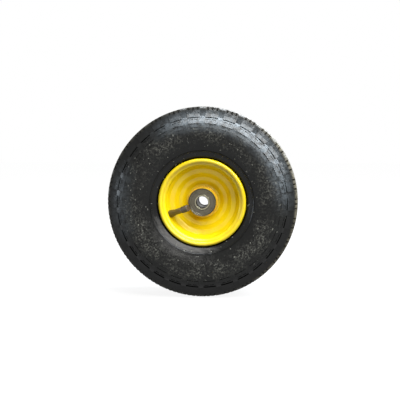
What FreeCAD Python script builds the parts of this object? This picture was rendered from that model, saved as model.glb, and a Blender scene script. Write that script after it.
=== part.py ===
"""A 10-inch pneumatic trolley wheel: tyre, tube, welded pressed-steel rim, hub on two ball bearings and valve.

Millimetres. The wheel stands upright with its centre at the origin and its axle along Y. The face with the
valve looks towards -Y. Radii are measured from the axle, and "half" sizes from the wheel's mid-plane.
"""
import FreeCAD, Part
import math
import os
import re
import Sketcher

V = FreeCAD.Vector

# Driving dimensions

SIZES = {
    # Tyre, outside
    "tyre_radius": (130.0, "crown of the tread"),
    "tread_half": (30.0, "half the tread's width"),
    "section_half": (42.5, "half the section width"),
    "shoulder_drop": (1.6, "fall of the tread from its crown to its edge"),
    "edge_drop": (1.8, "how far the shoulder's worn corner falls"),
    "shoulder_foot_drop": (14.0, "where the shoulder runs into the sidewall, under the crown"),
    "shoulder_foot_inset": (7.5, "and inside the widest place"),
    "widest_share": (0.56, "where the widest place lies, between the wall's foot and the shoulder's"),
    "wall_foot_rise": (14.5, "lower end of the sidewall's curve, over the rim's lip"),
    "wall_foot_inset": (4.3, "and inside the widest place"),
    "ring_rise": (9.7, "moulded line round the rim, over the rim's lip"),
    "ring_width": (1.7, "its width"),
    "ring_height": (0.9, "how far it stands out"),
    "ring_fall": (1.6, "fall of the wall from the end of its curve to the ring's upper edge"),
    "ring_slant": (1.0, "fall of the wall across the ring"),
    "ring_draft": (0.3, "slope of the ring's edges"),
    "lip_gap": (2.2, "gap between the tyre and the top of the rim's rolled lip"),
    "shelf_reach": (3.2, "how far the tyre reaches out above the lip, past the flange"),
    "lip_tuck": (0.6, "how far down behind the lip the tyre leans on the flange"),
    # Tyre, inside
    "bead_width": (6.4, "bead on its seat, short of the tube's valve pad"),
    "heel_chamfer": (4.0, "bead's outer corner"),
    "bead_height": (10.6, "height of the thick bead"),
    "bead_neck": (6.5, "wall thickness just above the bead"),
    "wall_thickness": (4.6, "sidewall at its widest"),
    "shoulder_wall": (5.7, "wall at the foot of the shoulder"),
    "crown_thickness": (9.3, "tread and casing at the crown"),
    "cavity_shoulder_sink": (0.7, "corner of the air space under the shoulder's foot"),
    "cavity_bow": (1.3, "how far its upper wall bows out"),
    "cavity_sag": (2.0, "how far its widest place lies under the tyre's"),
    "lower_wall_extra": (0.6, "extra wall half way down from the widest place"),
    "wall_foot_extra": (3.0, "extra wall at the foot of the sidewall"),
    "cavity_foot_rise": (3.0, "how far up the wall's foot is inside"),
    "neck_rise": (7.0, "how far over the bead the wall leans out again"),
    "neck_lean": (2.0, "how far past the flange it leans there"),
    "neck_bend": (8.0, "bend there"),
    "toe_height": (3.0, "height of the bead's toe"),
    "toe_swell": (0.8, "how far the bead swells over its toe"),
    # Tread pattern, with places measured down from the crown
    "pitches": (30, "number of pattern pitches round the tyre"),
    "tread_phase": (6.6, "degrees from the top to the first pad's centre"),
    "pad_angle": (8.4, "degrees taken by a shoulder pad"),
    "pad_rise": (1.3, "how far a pad stands above the land beside it"),
    "pad_drop": (0.2, "how far the pad's top lies under the edge of the tread"),
    "pad_root": (2.2, "how deep the raised parts are rooted in the casing"),
    "pad_bend_drop": (10.3, "bend in the pad's face"),
    "pad_foot_drop": (14.9, "lower edge of the pad"),
    "notch_step": (2.9, "degrees between the notches of a pad"),
    "notch_width": (2.5, "width of a notch"),
    "notch_depth": (5.6, "bottom of a notch"),
    "notch_reach": (2.8, "how far in from the tread's edge a notch reaches"),
    "block_top_drop": (16.6, "upper edge of the windowed block"),
    "block_height": (6.8, "height of the block"),
    "block_rise": (0.9, "how far the block stands out"),
    "window_angle": (2.7, "degrees taken by a window in the block"),
    "window_step": (3.7, "degrees between the two windows"),
    "window_frame": (1.3, "bar above and below a window"),
    "window_floor": (0.1, "height of the window's floor above the wall"),
    "bar_drop": (28.0, "short bar under the block"),
    "bar_height": (1.5, "its radial height"),
    "bar_angle": (5.6, "degrees taken by the bar"),
    "bar_rise": (0.6, "how far it stands out"),
    "groove_depth": (3.4, "depth of the tread grooves"),
    "groove_width": (3.0, "width of the tread grooves"),
    "groove_swing": (1.5, "how far a groove zigzags to each side"),
    "inner_groove_half": (6.2, "inner pair of grooves, from the mid-plane"),
    "outer_groove_half": (18.2, "outer pair of grooves, from the mid-plane"),
    # Rim halves, whose dish bends at shares of the way from the hub to the bead seat
    "steel": (1.5, "thickness of the pressed sheet"),
    "bead_seat_radius": (50.8, "seat of the bead"),
    "rim_half": (28.0, "half the width between the flanges"),
    "flange_height": (8.7, "rolled lip over the bead seat"),
    "roll_radius": (3.0, "rolled lip"),
    "roll_turn": (235.0, "degrees that the lip is rolled"),
    "seat_bend": (3.5, "bend between flange and bead seat"),
    "press_bend": (2.6, "other bends of the sheet, on the tyre side"),
    "seat_width": (8.8, "width of the bead seat"),
    "slope_foot_share": (0.852, "foot of the slope that holds the valve"),
    "slope_foot_half": (12.2, "half width there"),
    "outer_land_share": (0.654, "inner end of the outer land"),
    "outer_land_half": (10.6, "half width there"),
    "step_foot_share": (0.481, "foot of the step between the lands"),
    "step_foot_half": (5.2, "half width there"),
    "inner_land_share": (0.302, "inner end of the inner land"),
    "inner_land_half": (4.3, "half width there"),
    "weld_ring_share": (0.157, "edge of the flat ring where the halves are welded"),
    "collar_length": (8.5, "collar drawn up round the hub"),
    # Hub and axle
    "hub_half": (28.5, "half the hub's length"),
    "hub_wall": (1.48, "wall of the hub tube round a bearing"),
    "hub_shoulder": (2.02, "shoulder of the hub tube behind a bearing"),
    "hub_chamfer": (0.5, "edges of the hub tube"),
    "seat_clearance": (0.02, "clearance of pieces that are seated in or on each other"),
    "bearing_recess": (0.4, "how far a bearing lies inside the hub's end"),
    "spacer_clearance": (0.25, "spacer tube round the axle"),
    "spacer_wall": (2.0, "wall of the spacer tube"),
    # Ball bearing
    "bore_radius": (8.0, "bore for the axle"),
    "bearing_radius": (17.5, "outside of the outer ring"),
    "bearing_width": (11.0, "width of the bearing"),
    "ball_share": (0.6265, "ball's diameter against the section of the bearing"),
    "ball_count": (8, "balls in a bearing"),
    "land_share": (0.7, "distance of the rings' lands from the ball circle, against the ball's radius"),
    "race_clearance": (0.04, "running clearance between ball and race"),
    "race_factor": (1.04, "race curve against the ball's"),
    "ring_chamfer": (0.5, "edges of the bearing rings"),
    "shield_seat_wall": (1.6, "wall of the outer ring round its shields"),
    "shield_seat_depth": (1.6, "depth of the shields' seat in the outer ring"),
    "shield_thickness": (0.35, "shield"),
    "shield_inset": (0.55, "how far a shield lies inside the bearing's face"),
    "shield_gap": (0.35, "gap between a shield and the inner ring"),
    "shield_bend": (0.55, "bend of the shield's rim"),
    "cage_thickness": (0.5, "cage"),
    "cage_gap": (0.35, "gap between the cage and the rings' lands"),
    "pocket_clearance": (0.06, "cage pocket round its ball"),
    "rivet_radius": (0.45, "cage rivet"),
    "rivet_head_radius": (0.8, "its heads"),
    "rivet_head_height": (0.35, "height of a head"),
    # Valve, with places measured along it from the paint of the rim
    "valve_angle": (249.0, "degrees clockwise from the top, seen from the front"),
    "hole_clearance": (0.2, "hole in the rim round the stem"),
    "flange_lap": (0.9, "how far the stem's flange laps over the hole's edge"),
    "stem_flange": (1.5, "thickness of the flange, bonded to the tube"),
    "stem_radius": (5.1, "rubber stem at the rim"),
    "stem_tip_radius": (3.95, "rubber stem at its slim end"),
    "stem_collar": (3.2, "length of the thick end outside the rim"),
    "stem_collar_bend": (2.0, "bend at its end"),
    "stem_taper": (9.5, "where the taper ends"),
    "stem_taper_bend": (4.0, "bend there"),
    "stem_length": (21.5, "rubber outside the rim"),
    "stem_tip_bend": (0.6, "rounding of its tip"),
    "insert_wall": (0.28, "brass round the valve core"),
    "air_way_step": (0.72, "step from the core's hole in the insert to its air way"),
    "thread_radius": (3.85, "threaded end for the cap"),
    "thread_length": (8.7, "its length"),
    "thread_chamfer": (0.5, "its edge"),
    "core_radius": (2.3, "valve core"),
    "core_length": (8.7, "length of the core's body"),
    "core_sink": (1.0, "how far the core lies inside the threaded end"),
    "core_wall": (1.05, "wall of the core's body"),
    "core_floor": (0.8, "thickness of its inner end"),
    "core_gap": (0.3, "gap between its inner end and the insert"),
    "pin_radius": (0.45, "core's pin"),
    "pin_travel": (1.2, "how far the pin stands out of the core, and can be pushed to let air out"),
    "pin_gap": (0.15, "gap round the pin in the core's inner end"),
    "pin_collar_depth": (0.9, "pin's collar, under the core's outer end"),
    "pin_collar_height": (0.5, "height of the collar"),
    "cup_height": (2.1, "cup at the pin's inner end, which holds the seal"),
    "seal_radius": (1.45, "core's seal"),
    "seal_height": (1.1, "its height"),
    "seal_lip": (0.2, "how far it stands out over the pin's cup"),
    "spring_radius": (0.85, "core's spring, to the middle of its wire"),
    "spring_wire": (0.16, "radius of the wire"),
    "spring_turns": (6.0, "turns of the spring"),
    "cap_gap": (0.9, "gap between the stem's tip and the cap"),
    "cap_clearance": (0.05, "cap round the threaded end"),
    "cap_wall": (0.7, "wall of the valve cap"),
    "cap_room": (1.2, "room in the cap over the pin"),
    "cap_top": (1.4, "thickness of its closed end"),
    "cap_bend": (1.0, "rounding of its closed end"),
    "cap_flutes": (12, "grip flutes"),
    "cap_flute_radius": (0.55, "radius of a flute"),
    "cap_flute_stop": (2.0, "how far the flutes stop short of the closed end"),
    # Inner tube
    "tube_clearance": (0.35, "between the tube and what is round it"),
    "tube_wall": (1.6, "wall of the tube"),
    "tube_rest": (1.1, "inside of the tube over the rim's outer land"),
    "tube_side_room": (3.2, "room beside the tube in the well between the halves"),
    "tube_bend": (2.0, "bends of the tube beside the well"),
    "flange_margin": (1.0, "flat of the tube past the stem's flange"),
}

# Places and shapes that follow from them

PLACES = {
    "pitch": "360 / pitches",
    "shoulder_radius": "tyre_radius - shoulder_drop",
    "shoulder_foot_radius": "tyre_radius - shoulder_foot_drop",
    "shoulder_foot_half": "section_half - shoulder_foot_inset",
    "flange_radius": "bead_seat_radius + flange_height",
    "wall_foot_radius": "flange_radius + wall_foot_rise",
    "wall_foot_half": "section_half - wall_foot_inset",
    "widest_radius": "wall_foot_radius + widest_share * (shoulder_foot_radius - wall_foot_radius)",
    "upper_arc": "((shoulder_foot_radius - widest_radius)^2 + shoulder_foot_inset^2) / (2 * shoulder_foot_inset)",
    "lower_arc": "((widest_radius - wall_foot_radius)^2 + wall_foot_inset^2) / (2 * wall_foot_inset)",
    "ring_radius": "flange_radius + ring_rise",
    "ring_top_half": "wall_foot_half - ring_fall",
    "ring_foot_half": "wall_foot_half - ring_fall - ring_slant",
    "bead_radius": "bead_seat_radius + seat_clearance",
    "bead_half": "rim_half - seat_clearance",
    "cavity_shoulder_radius": "shoulder_foot_radius - cavity_shoulder_sink",
    "cavity_shoulder_half": "shoulder_foot_half - shoulder_wall",
    "pad_bend_radius": "tyre_radius - pad_bend_drop",
    "pad_foot_radius": "tyre_radius - pad_foot_drop",
    "notch_floor": "tyre_radius - notch_depth",
    "notch_start_half": "tread_half - notch_reach",
    "block_top_radius": "tyre_radius - block_top_drop",
    "block_foot_radius": "block_top_radius - block_height",
    "bar_radius": "tyre_radius - bar_drop",
    "hub_radius": "bearing_radius + seat_clearance + hub_wall",
    "hub_inner_radius": "bearing_radius + seat_clearance - hub_shoulder",
    "dish_width": "bead_seat_radius - hub_radius",
    "seat_inner_half": "rim_half - seat_width",
    "slope_foot_radius": "hub_radius + slope_foot_share * dish_width",
    "outer_land_radius": "hub_radius + outer_land_share * dish_width",
    "step_foot_radius": "hub_radius + step_foot_share * dish_width",
    "inner_land_radius": "hub_radius + inner_land_share * dish_width",
    "weld_ring_radius": "hub_radius + weld_ring_share * dish_width",
    "slope_run": "bead_seat_radius - slope_foot_radius",
    "slope_drop": "seat_inner_half - slope_foot_half",
    "slope_length": "sqrt(slope_run^2 + slope_drop^2)",
    "slope_middle_radius": "(bead_seat_radius + slope_foot_radius) / 2",
    "slope_middle_half": "(seat_inner_half + slope_foot_half) / 2",
    "bearing_inner_half": "hub_half - bearing_recess - bearing_width",
    "ball_circle_radius": "(bore_radius + bearing_radius) / 2",
    "ball_radius": "ball_share * (bearing_radius - bore_radius) / 2",
    "inner_land": "ball_circle_radius - land_share * ball_radius",
    "outer_land": "ball_circle_radius + land_share * ball_radius",
    "inner_race": "ball_circle_radius - ball_radius - race_clearance",
    "outer_race": "ball_circle_radius + ball_radius + race_clearance",
    "race_curve": "ball_radius * race_factor",
    "shield_seat_radius": "bearing_radius - shield_seat_wall",
    "shield_seat_half": "bearing_width / 2 - shield_seat_depth",
    "shield_face_half": "bearing_width / 2 - shield_inset",
    "valve_hole_radius": "stem_radius + hole_clearance",
    "stem_flange_radius": "valve_hole_radius + flange_lap",
    "core_hole": "core_radius + seat_clearance",
    "insert_radius": "core_hole + insert_wall",
    "insert_bore": "core_hole - air_way_step",
    "thread_end": "stem_length + thread_length",
    "core_top": "thread_end - core_sink",
    "core_bottom": "core_top - core_length",
    "core_bore": "core_radius - core_wall",
    "core_floor_top": "core_bottom + core_floor",
    "seal_foot": "core_bottom - seal_height",
    "pin_top": "core_top + pin_travel",
    "pin_bottom": "seal_foot - cup_height",
    "pin_collar_top": "core_top - pin_collar_depth",
    "pin_collar_bottom": "pin_collar_top - pin_collar_height",
    "cap_start": "stem_length + cap_gap",
    "cap_end": "pin_top + cap_room + cap_top",
    "cap_bore": "thread_radius + cap_clearance",
    "cap_radius": "cap_bore + cap_wall",
    "tube_bottom_radius": "outer_land_radius + tube_rest",
    "tube_bottom_half": "outer_land_half - tube_side_room",
}
WHOLE_TURN = "360"

doc = FreeCAD.newDocument("trolley_wheel")


def fill(name, cells):
    """A sheet with one aliased cell for each name."""
    sheet = doc.addObject("Spreadsheet::Sheet", name)
    for row, (alias, (note, cell)) in enumerate(cells.items(), start=1):
        sheet.set(f"A{row}", note)
        sheet.set(f"B{row}", cell)
        sheet.setAlias(f"B{row}", alias)
    return sheet


# Formulas

def bind(formula):
    """Write a formula in plain names as an expression on the sheets."""
    def on_sheet(word):
        name = word.group()
        return f"Sizes.{name}" if name in SIZES else f"Places.{name}" if name in PLACES else name

    return re.sub(r"[a-z]\w*", on_sheet, formula)


fill("Sizes", {alias: (note, str(size)) for alias, (size, note) in SIZES.items()})
sheet = fill("Places", {alias: (formula, "=" + bind(formula)) for alias, formula in PLACES.items()})
doc.recompute()


def value(formula):
    """The number that a formula gives."""
    return float(sheet.evalExpression(bind(formula)))


def drive(thing, **properties):
    """Bind properties of an object to formulas."""
    for name, formula in properties.items():
        thing.setExpression(name, bind(formula))


def wall_at(radius, rise="0"):
    """Half width of the tyre's upper sidewall at a radius, or a little outside it."""
    return f"section_half - upper_arc + sqrt(upper_arc^2 - ({radius} - widest_radius)^2) + {rise}"


def lower_wall_at(radius):
    return f"section_half - lower_arc + sqrt(lower_arc^2 - (widest_radius - ({radius}))^2)"


def middle(first, second):
    return f"(({first}) + ({second})) / 2"


# Outlines, whose stops are given as radius and distance from the mid-plane

def mirror(stops):
    """The stops on the other side of the mid-plane, in reverse."""
    return [type(stop)([stop[0], f"-({stop[1]})", *stop[2:]]) for stop in reversed(stops)]


def both_sides(stops):
    """A closed outline from one side's stops and their mirror image."""
    return [*stops, *mirror(stops)]


def circle_centre(a, b, c):
    """Centre of the circle through three points."""
    d = 2 * (a.x * (b.y - c.y) + b.x * (c.y - a.y) + c.x * (a.y - b.y))
    x = (a.Length ** 2 * (b.y - c.y) + b.Length ** 2 * (c.y - a.y) + c.Length ** 2 * (a.y - b.y)) / d
    y = (a.Length ** 2 * (c.x - b.x) + b.Length ** 2 * (a.x - c.x) + c.Length ** 2 * (b.x - a.x)) / d
    return V(x, y, 0)


def arc_between(start, end, centre, anticlockwise):
    """An arc from start to end, with the numbers of its vertices at start and end."""
    circle = Part.Circle(centre, V(0, 0, 1), (start - centre).Length)
    first, last = (start, end) if anticlockwise else (end, start)
    from_angle = math.atan2(first.y - centre.y, first.x - centre.x)
    to_angle = math.atan2(last.y - centre.y, last.x - centre.x)
    if to_angle <= from_angle:
        to_angle += 2 * math.pi
    return Part.ArcOfCircle(circle, from_angle, to_angle), ((1, 2) if anticlockwise else (2, 1))


class Drawing:
    """Geometry and constraints that go into one sketch together."""

    def __init__(self, sketch):
        self.sketch = sketch
        self.geometry = []
        self.constraints = []
        self.formulas = {}

    def add(self, shape, construction=False):
        self.geometry.append((shape, construction))
        return len(self.geometry) - 1

    def hold(self, kind, *ends):
        self.constraints.append(Sketcher.Constraint(kind, *ends))

    def size(self, kind, ends, formula):
        """A constraint whose size is a formula."""
        self.constraints.append(Sketcher.Constraint(kind, *ends, value(formula)))
        self.formulas[len(self.constraints) - 1] = formula

    def place(self, end, x, y):
        """Fix a vertex at two formulas."""
        for kind, formula, axis in (("DistanceX", x, -2), ("DistanceY", y, -1)):
            if abs(value(formula)) < 1e-9:
                self.hold("PointOnObject", *end, axis)
            else:
                self.size(kind, (-1, 1, *end), formula)

    def outline(self, stops, closed=True):
        """Lines and arcs from stop to stop. A tuple is a corner, (x, y), or a rounded one, (x, y, radius), and a
        list, [x, y], is a point that the arc between its two neighbours passes through."""
        corners = [stop for stop in stops if isinstance(stop, tuple)]
        spots = [V(value(corner[0]), value(corner[1]), 0) for corner in corners]
        through = {}
        for place, stop in enumerate(stops):
            if isinstance(stop, list):
                through[sum(isinstance(before, tuple) for before in stops[:place]) - 1] = stop
        count = len(corners)
        into, out_of = list(spots), list(spots)
        for i, corner in enumerate(corners):
            if len(corner) == 3:
                back = (spots[i - 1] - spots[i]).normalize()
                ahead = (spots[(i + 1) % count] - spots[i]).normalize()
                reach = value(corner[2]) / math.tan(back.getAngle(ahead) / 2)
                into[i], out_of[i] = spots[i] + back * reach, spots[i] + ahead * reach
        runs = []
        for i in range(count if closed else count - 1):
            start, end = out_of[i], into[(i + 1) % count]
            if i in through:
                x, y = through[i]
                via = V(value(x), value(y), 0)
                turn = (via - start).cross(end - via).z
                arc, vertices = arc_between(start, end, circle_centre(start, via, end), turn > 0)
                run = (self.add(arc), *vertices)
                guide = self.add(Part.Point(via), construction=True)
                self.place((guide, 1), x, y)
                self.hold("PointOnObject", guide, 1, run[0])
            else:
                run = (self.add(Part.LineSegment(start, end)), 1, 2)
            runs.append(run)
        for i, corner in enumerate(corners):
            before = runs[i - 1] if closed or i > 0 else None
            after = runs[i] if i < len(runs) else None
            if len(corner) == 3:
                self.round_corner(corner, spots[i], into[i], out_of[i], before, after)
            elif before and after:
                self.hold("Coincident", before[0], before[2], after[0], after[1])
                self.place((after[0], after[1]), *corner)
            elif after:
                self.place((after[0], after[1]), *corner)
            else:
                self.place((before[0], before[2]), *corner)

    def round_corner(self, corner, spot, start, end, before, after):
        """An arc tangent to the lines before and after a corner, which stays as a construction point."""
        turn = (spot - start).cross(end - spot).z
        side = V(0, 0, 1 if turn > 0 else -1).cross(spot - start).normalize()
        arc, vertices = arc_between(start, end, start + side * value(corner[2]), turn > 0)
        bend = self.add(arc)
        guide = self.add(Part.Point(spot), construction=True)
        self.place((guide, 1), corner[0], corner[1])
        self.hold("PointOnObject", guide, 1, before[0])
        self.hold("PointOnObject", guide, 1, after[0])
        self.hold("Tangent", before[0], before[2], bend, vertices[0])
        self.hold("Tangent", bend, vertices[1], after[0], after[1])
        self.size("Radius", (bend,), corner[2])

    def circle(self, x, y, radius):
        ring = self.add(Part.Circle(V(value(x), value(y), 0), V(0, 0, 1), value(radius)))
        self.place((ring, 3), x, y)
        self.size("Radius", (ring,), radius)

    def finish(self):
        for shape, construction in self.geometry:
            self.sketch.addGeometry(shape, construction)
        self.sketch.addConstraint(self.constraints)
        for index, formula in self.formulas.items():
            self.sketch.setExpression(f"Constraints[{index}]", bind(formula))
        return self.sketch


def plane_of(body, role):
    return next(feature for feature in body.Origin.OriginFeatures if feature.Role == role)


def sketch_on(body, role, name, offset=None, turned=None):
    """A sketch on one of the body's own planes, lifted off it or turned about the axle by a formula."""
    sketch = body.newObject("Sketcher::SketchObject", name)
    sketch.AttachmentSupport = [(plane_of(body, role), "")]
    sketch.MapMode = "FlatFace"
    if offset:
        drive(sketch, **{"AttachmentOffset.Base.z": offset})
    if turned:
        sketch.AttachmentOffset = FreeCAD.Placement(V(), FreeCAD.Rotation(V(0, 1, 0), value(turned)))
        drive(sketch, **{"AttachmentOffset.Rotation.Angle": turned})
    return sketch


def draw(sketch, *outlines):
    drawing = Drawing(sketch)
    for stops in outlines:
        drawing.outline(stops)
    return drawing.finish()


def new_body(name):
    body = doc.addObject("PartDesign::Body", name)
    body.Label = name
    body.AllowCompound = True
    return body


def revolve(body, sketch, kind="Revolution", angle=WHOLE_TURN, axis="V_Axis"):
    """Revolve a sketch about its vertical axis, to add to the body or, as a Groove, to cut from it."""
    feature = body.newObject(f"PartDesign::{kind}", f"{sketch.Name}_{kind.lower()}")
    feature.Profile = sketch
    feature.ReferenceAxis = (sketch, [axis])
    feature.Midplane = angle != WHOLE_TURN
    drive(feature, Angle=angle)
    return feature


def polar(body, features, count):
    """Repeat features round the axle, and make the pattern the body's tip."""
    pattern = body.newObject("PartDesign::PolarPattern", f"{features[0].Name}_ring")
    pattern.Originals = features
    pattern.Axis = (plane_of(body, "Y_Axis"), [""])
    pattern.Angle = 360
    drive(pattern, Occurrences=count)
    body.Tip = pattern
    return pattern


def cut(name, base, tool):
    rest = doc.addObject("Part::Cut", name)
    rest.Base = base
    rest.Tool = tool
    return rest


def turned_body(name, *outlines):
    """A piece turned about the axle from one sketch."""
    body = new_body(name)
    revolve(body, draw(sketch_on(body, "XY_Plane", f"{name}_profile"), *outlines))
    return body


def sheet_metal(name, stops, thickness):
    """A pressed or rolled sheet: a path, given thickness to one side and turned about the axle."""
    drawing = Drawing(doc.addObject("Sketcher::SketchObject", f"{name}_path"))
    drawing.outline(stops, closed=False)
    return spun(name, thickened(f"{name}_section", drawing.finish(), thickness))


def thickened(name, path, thickness):
    """The band between a path and its offset, to the right of the path's direction where the thickness is positive."""
    band = doc.addObject("Part::Offset2D", name)
    band.Source = path
    band.Mode = "Skin"
    band.Fill = True
    drive(band, Value=thickness)
    return band


def spun(name, section):
    """A section turned once round the axle."""
    ring = doc.addObject("Part::Revolution", name)
    ring.Source = section
    ring.Axis = V(0, 1, 0)
    ring.Angle = 360
    ring.Solid = True
    return ring


def name_part(piece, label, placement=None):
    piece.Label = label
    if placement:
        piece.Placement = placement
    return piece


HALF_TURN = FreeCAD.Placement(V(), FreeCAD.Rotation(V(0, 0, 1), 180))


# Tyre

def cavity(clearance="0"):
    """The air space inside the tyre, from the shoulder down to the bead's toe, or a little inside it."""
    wall_half = f"section_half - wall_thickness - {clearance}"
    upper, lower = middle("widest_radius", "cavity_shoulder_radius"), middle("widest_radius", "wall_foot_radius")
    return [
        (f"cavity_shoulder_radius - {clearance}", f"cavity_shoulder_half - {clearance}"),
        [upper, f"{middle(wall_half, f'cavity_shoulder_half - {clearance}')} + cavity_bow"],
        ("widest_radius - cavity_sag", wall_half),
        [lower, f"{wall_half} - lower_wall_extra"],
        ("wall_foot_radius + cavity_foot_rise", f"{wall_half} - wall_foot_extra"),
        ("bead_radius + bead_height + neck_rise", f"bead_half + neck_lean - {clearance}", "neck_bend"),
        ("bead_radius + bead_height", f"bead_half - bead_neck - {clearance}"),
        ("bead_radius + toe_height", f"bead_half - bead_width - toe_swell - {clearance}"),
    ]


def tyre_pitch():
    """One pitch of the tyre, a sector from bead to bead, with its pads, notches and tread grooves."""
    body = new_body("tyre_pitch")
    side = [
        ("shoulder_radius", "tread_half"),
        ("shoulder_radius - edge_drop", "tread_half + edge_drop"),
        ("shoulder_foot_radius", "shoulder_foot_half"),
        [middle("shoulder_foot_radius", "widest_radius"), wall_at(middle("shoulder_foot_radius", "widest_radius"))],
        ("widest_radius", "section_half"),
        [middle("widest_radius", "wall_foot_radius"), lower_wall_at(middle("widest_radius", "wall_foot_radius"))],
        ("wall_foot_radius", "wall_foot_half"),
        ("ring_radius + ring_width / 2", "ring_top_half"),
        ("ring_radius + ring_width / 2 - ring_draft", "ring_top_half + ring_height"),
        ("ring_radius - ring_width / 2 + ring_draft", "ring_foot_half + ring_height"),
        ("ring_radius - ring_width / 2", "ring_foot_half"),
        ("flange_radius + lip_gap", "rim_half + shelf_reach"),
        ("flange_radius - lip_tuck", "bead_half"),
        ("bead_radius + heel_chamfer", "bead_half"),
        ("bead_radius", "bead_half - heel_chamfer"),
        ("bead_radius", "bead_half - bead_width"),
        *reversed(cavity()),
    ]
    ceiling, crown = ["tyre_radius - crown_thickness", "0"], ["tyre_radius", "0"]
    stops = [*side, ceiling, *mirror(side), crown]
    revolve(body, draw(sketch_on(body, "XY_Plane", "casing"), stops), angle="pitch")

    pad = [
        ("shoulder_radius - pad_drop", "tread_half - pad_root"),
        ("shoulder_radius - pad_drop", "tread_half + pad_rise"),
        ("pad_bend_radius", f"{middle('tread_half + edge_drop', 'shoulder_foot_half')} + pad_rise"),
        ("pad_foot_radius", wall_at("pad_foot_radius", "pad_rise")),
        ("pad_foot_radius", f"{wall_at('pad_foot_radius')} - pad_root"),
    ]
    block = [
        ("block_top_radius", f"{wall_at('block_top_radius')} - pad_root"),
        ("block_top_radius", wall_at("block_top_radius", "block_rise")),
        ("block_foot_radius", wall_at("block_foot_radius", "block_rise")),
        ("block_foot_radius", f"{wall_at('block_foot_radius')} - pad_root"),
    ]
    raised = sketch_on(body, "XY_Plane", "pads")
    revolve(body, draw(raised, pad, mirror(pad), block, mirror(block)), angle="pad_angle")

    bar_top, bar_foot = "bar_radius + bar_height / 2", "bar_radius - bar_height / 2"
    bar = [
        (bar_top, f"{wall_at(bar_top)} - pad_root"),
        (bar_top, wall_at(bar_top, "bar_rise")),
        (bar_foot, wall_at(bar_foot, "bar_rise")),
        (bar_foot, f"{wall_at(bar_foot)} - pad_root"),
    ]
    revolve(body, draw(sketch_on(body, "XY_Plane", "bars"), bar, mirror(bar)), angle="bar_angle")

    window_top, window_foot = "block_top_radius - window_frame", "block_foot_radius + window_frame"
    window = [
        (window_top, wall_at(window_top, "window_floor")),
        (window_top, wall_at(window_top, "block_rise + pad_root")),
        (window_foot, wall_at(window_foot, "block_rise + pad_root")),
        (window_foot, wall_at(window_foot, "window_floor")),
    ]
    for side_name, turn in (("left", "-window_step / 2"), ("right", "window_step / 2")):
        sketch = sketch_on(body, "XY_Plane", f"{side_name}_window", turned=turn)
        revolve(body, draw(sketch, window, mirror(window)), "Groove", "window_angle")

    notches = []
    for step in (-1, 0, 1):
        centre = f"(notch_floor * tan({step} * notch_step))"
        low, high = f"{centre} - notch_width / 2", f"{centre} + notch_width / 2"
        notches.append([("notch_floor", low), ("tyre_radius", low), ("tyre_radius", high), ("notch_floor", high)])
    for side_name, sign in (("front", ""), ("rear", "-")):
        sketch = sketch_on(body, "XZ_Plane", f"{side_name}_notches", offset=f"{sign}notch_start_half")
        pocket = body.newObject("PartDesign::Pocket", f"{side_name}_notch_cut")
        pocket.Profile = draw(sketch, *notches)
        pocket.Reversed = side_name == "front"
        drive(pocket, Length="section_half - notch_start_half")

    sketch = sketch_on(body, "YZ_Plane", "zigzag_grooves", offset="tyre_radius - groove_depth")
    grooves = body.newObject("PartDesign::Pocket", "zigzag_cut")
    grooves.Profile = draw(sketch, *zigzags())
    grooves.Reversed = True
    drive(grooves, Length="2 * groove_depth")
    return body


def zigzags():
    """Outlines of the four grooves in the tread, each a little longer than a pitch. Neighbours swing apart."""
    quarter = "(tyre_radius * tan(pitch / 2) / 2)"
    for place, swing in (("inner_groove_half", "groove_swing"), ("outer_groove_half", "-groove_swing")):
        for sign in ("", "-"):
            edge = []
            for step in range(-3, 4):
                way = "-" if step % 2 else ""
                edge.append((f"{sign}({place} + {way}({swing}))", f"{step} * {quarter}"))
            yield ([(f"{x} - groove_width / 2", z) for x, z in edge]
                   + [(f"{x} + groove_width / 2", z) for x, z in reversed(edge)])


def tyre():
    """The tyre: its pitches side by side, sewn edge to edge into one closed skin."""
    sector = tyre_pitch()
    doc.recompute()
    pitch = value("pitch")
    outside = []
    for face in sector.Shape.Faces:
        place = face.CenterOfMass
        from_middle = abs(math.degrees(math.atan2(place.z, place.x)))
        if abs(from_middle - pitch / 2) > 1e-4:
            outside.append(face)
    skin = Part.Shell(outside)
    copies = []
    for index in range(int(value("pitches"))):
        copy = skin.copy()
        copy.rotate(V(), V(0, 1, 0), index * pitch)
        copies.append(copy)
    whole = Part.makeCompound(copies)
    whole.sewShape(1e-4)
    solid = Part.Solid(whole.Shells[0])
    if solid.Volume < 0:
        solid.reverse()
    piece = doc.addObject("Part::Feature", "tyre")
    piece.Shape = solid
    first_pad = value("tread_phase") - 90
    return name_part(piece, "tyre", FreeCAD.Placement(V(), FreeCAD.Rotation(V(0, 1, 0), first_pad)))


# Inner tube

def tube_side(inset):
    """One side of the tube's section, drawn in from its outside by an inset."""
    off_slope = f"(stem_flange + seat_clearance + tube_clearance + {inset})"
    past_flange = "(stem_flange_radius + flange_margin)"
    return [
        *cavity(f"(tube_clearance + {inset})"),
        (f"slope_middle_radius - {past_flange} * slope_run / slope_length + {off_slope} * slope_drop / slope_length",
         f"slope_middle_half - {past_flange} * slope_drop / slope_length - {off_slope} * slope_run / slope_length",
         "tube_bend"),
        (f"tube_bottom_radius + {inset}", f"tube_bottom_half - {inset} / 2", "tube_bend"),
    ]


def inner_tube():
    """A hollow ring of rubber that fills the tyre and sags into the well between the rim halves."""
    body = new_body("tube_ring")
    for kind, inset in (("Revolution", "0"), ("Groove", "tube_wall")):
        side = tube_side(inset)
        ceiling = [f"tyre_radius - crown_thickness - tube_clearance - {inset}", "0"]
        sketch = sketch_on(body, "XY_Plane", f"tube_{kind.lower()}_outline")
        revolve(body, draw(sketch, [*both_sides(side), ceiling]), kind)
    return name_part(drilled("tube_with_air_way", body, "insert_bore"), "inner_tube")


# Rim

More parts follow.
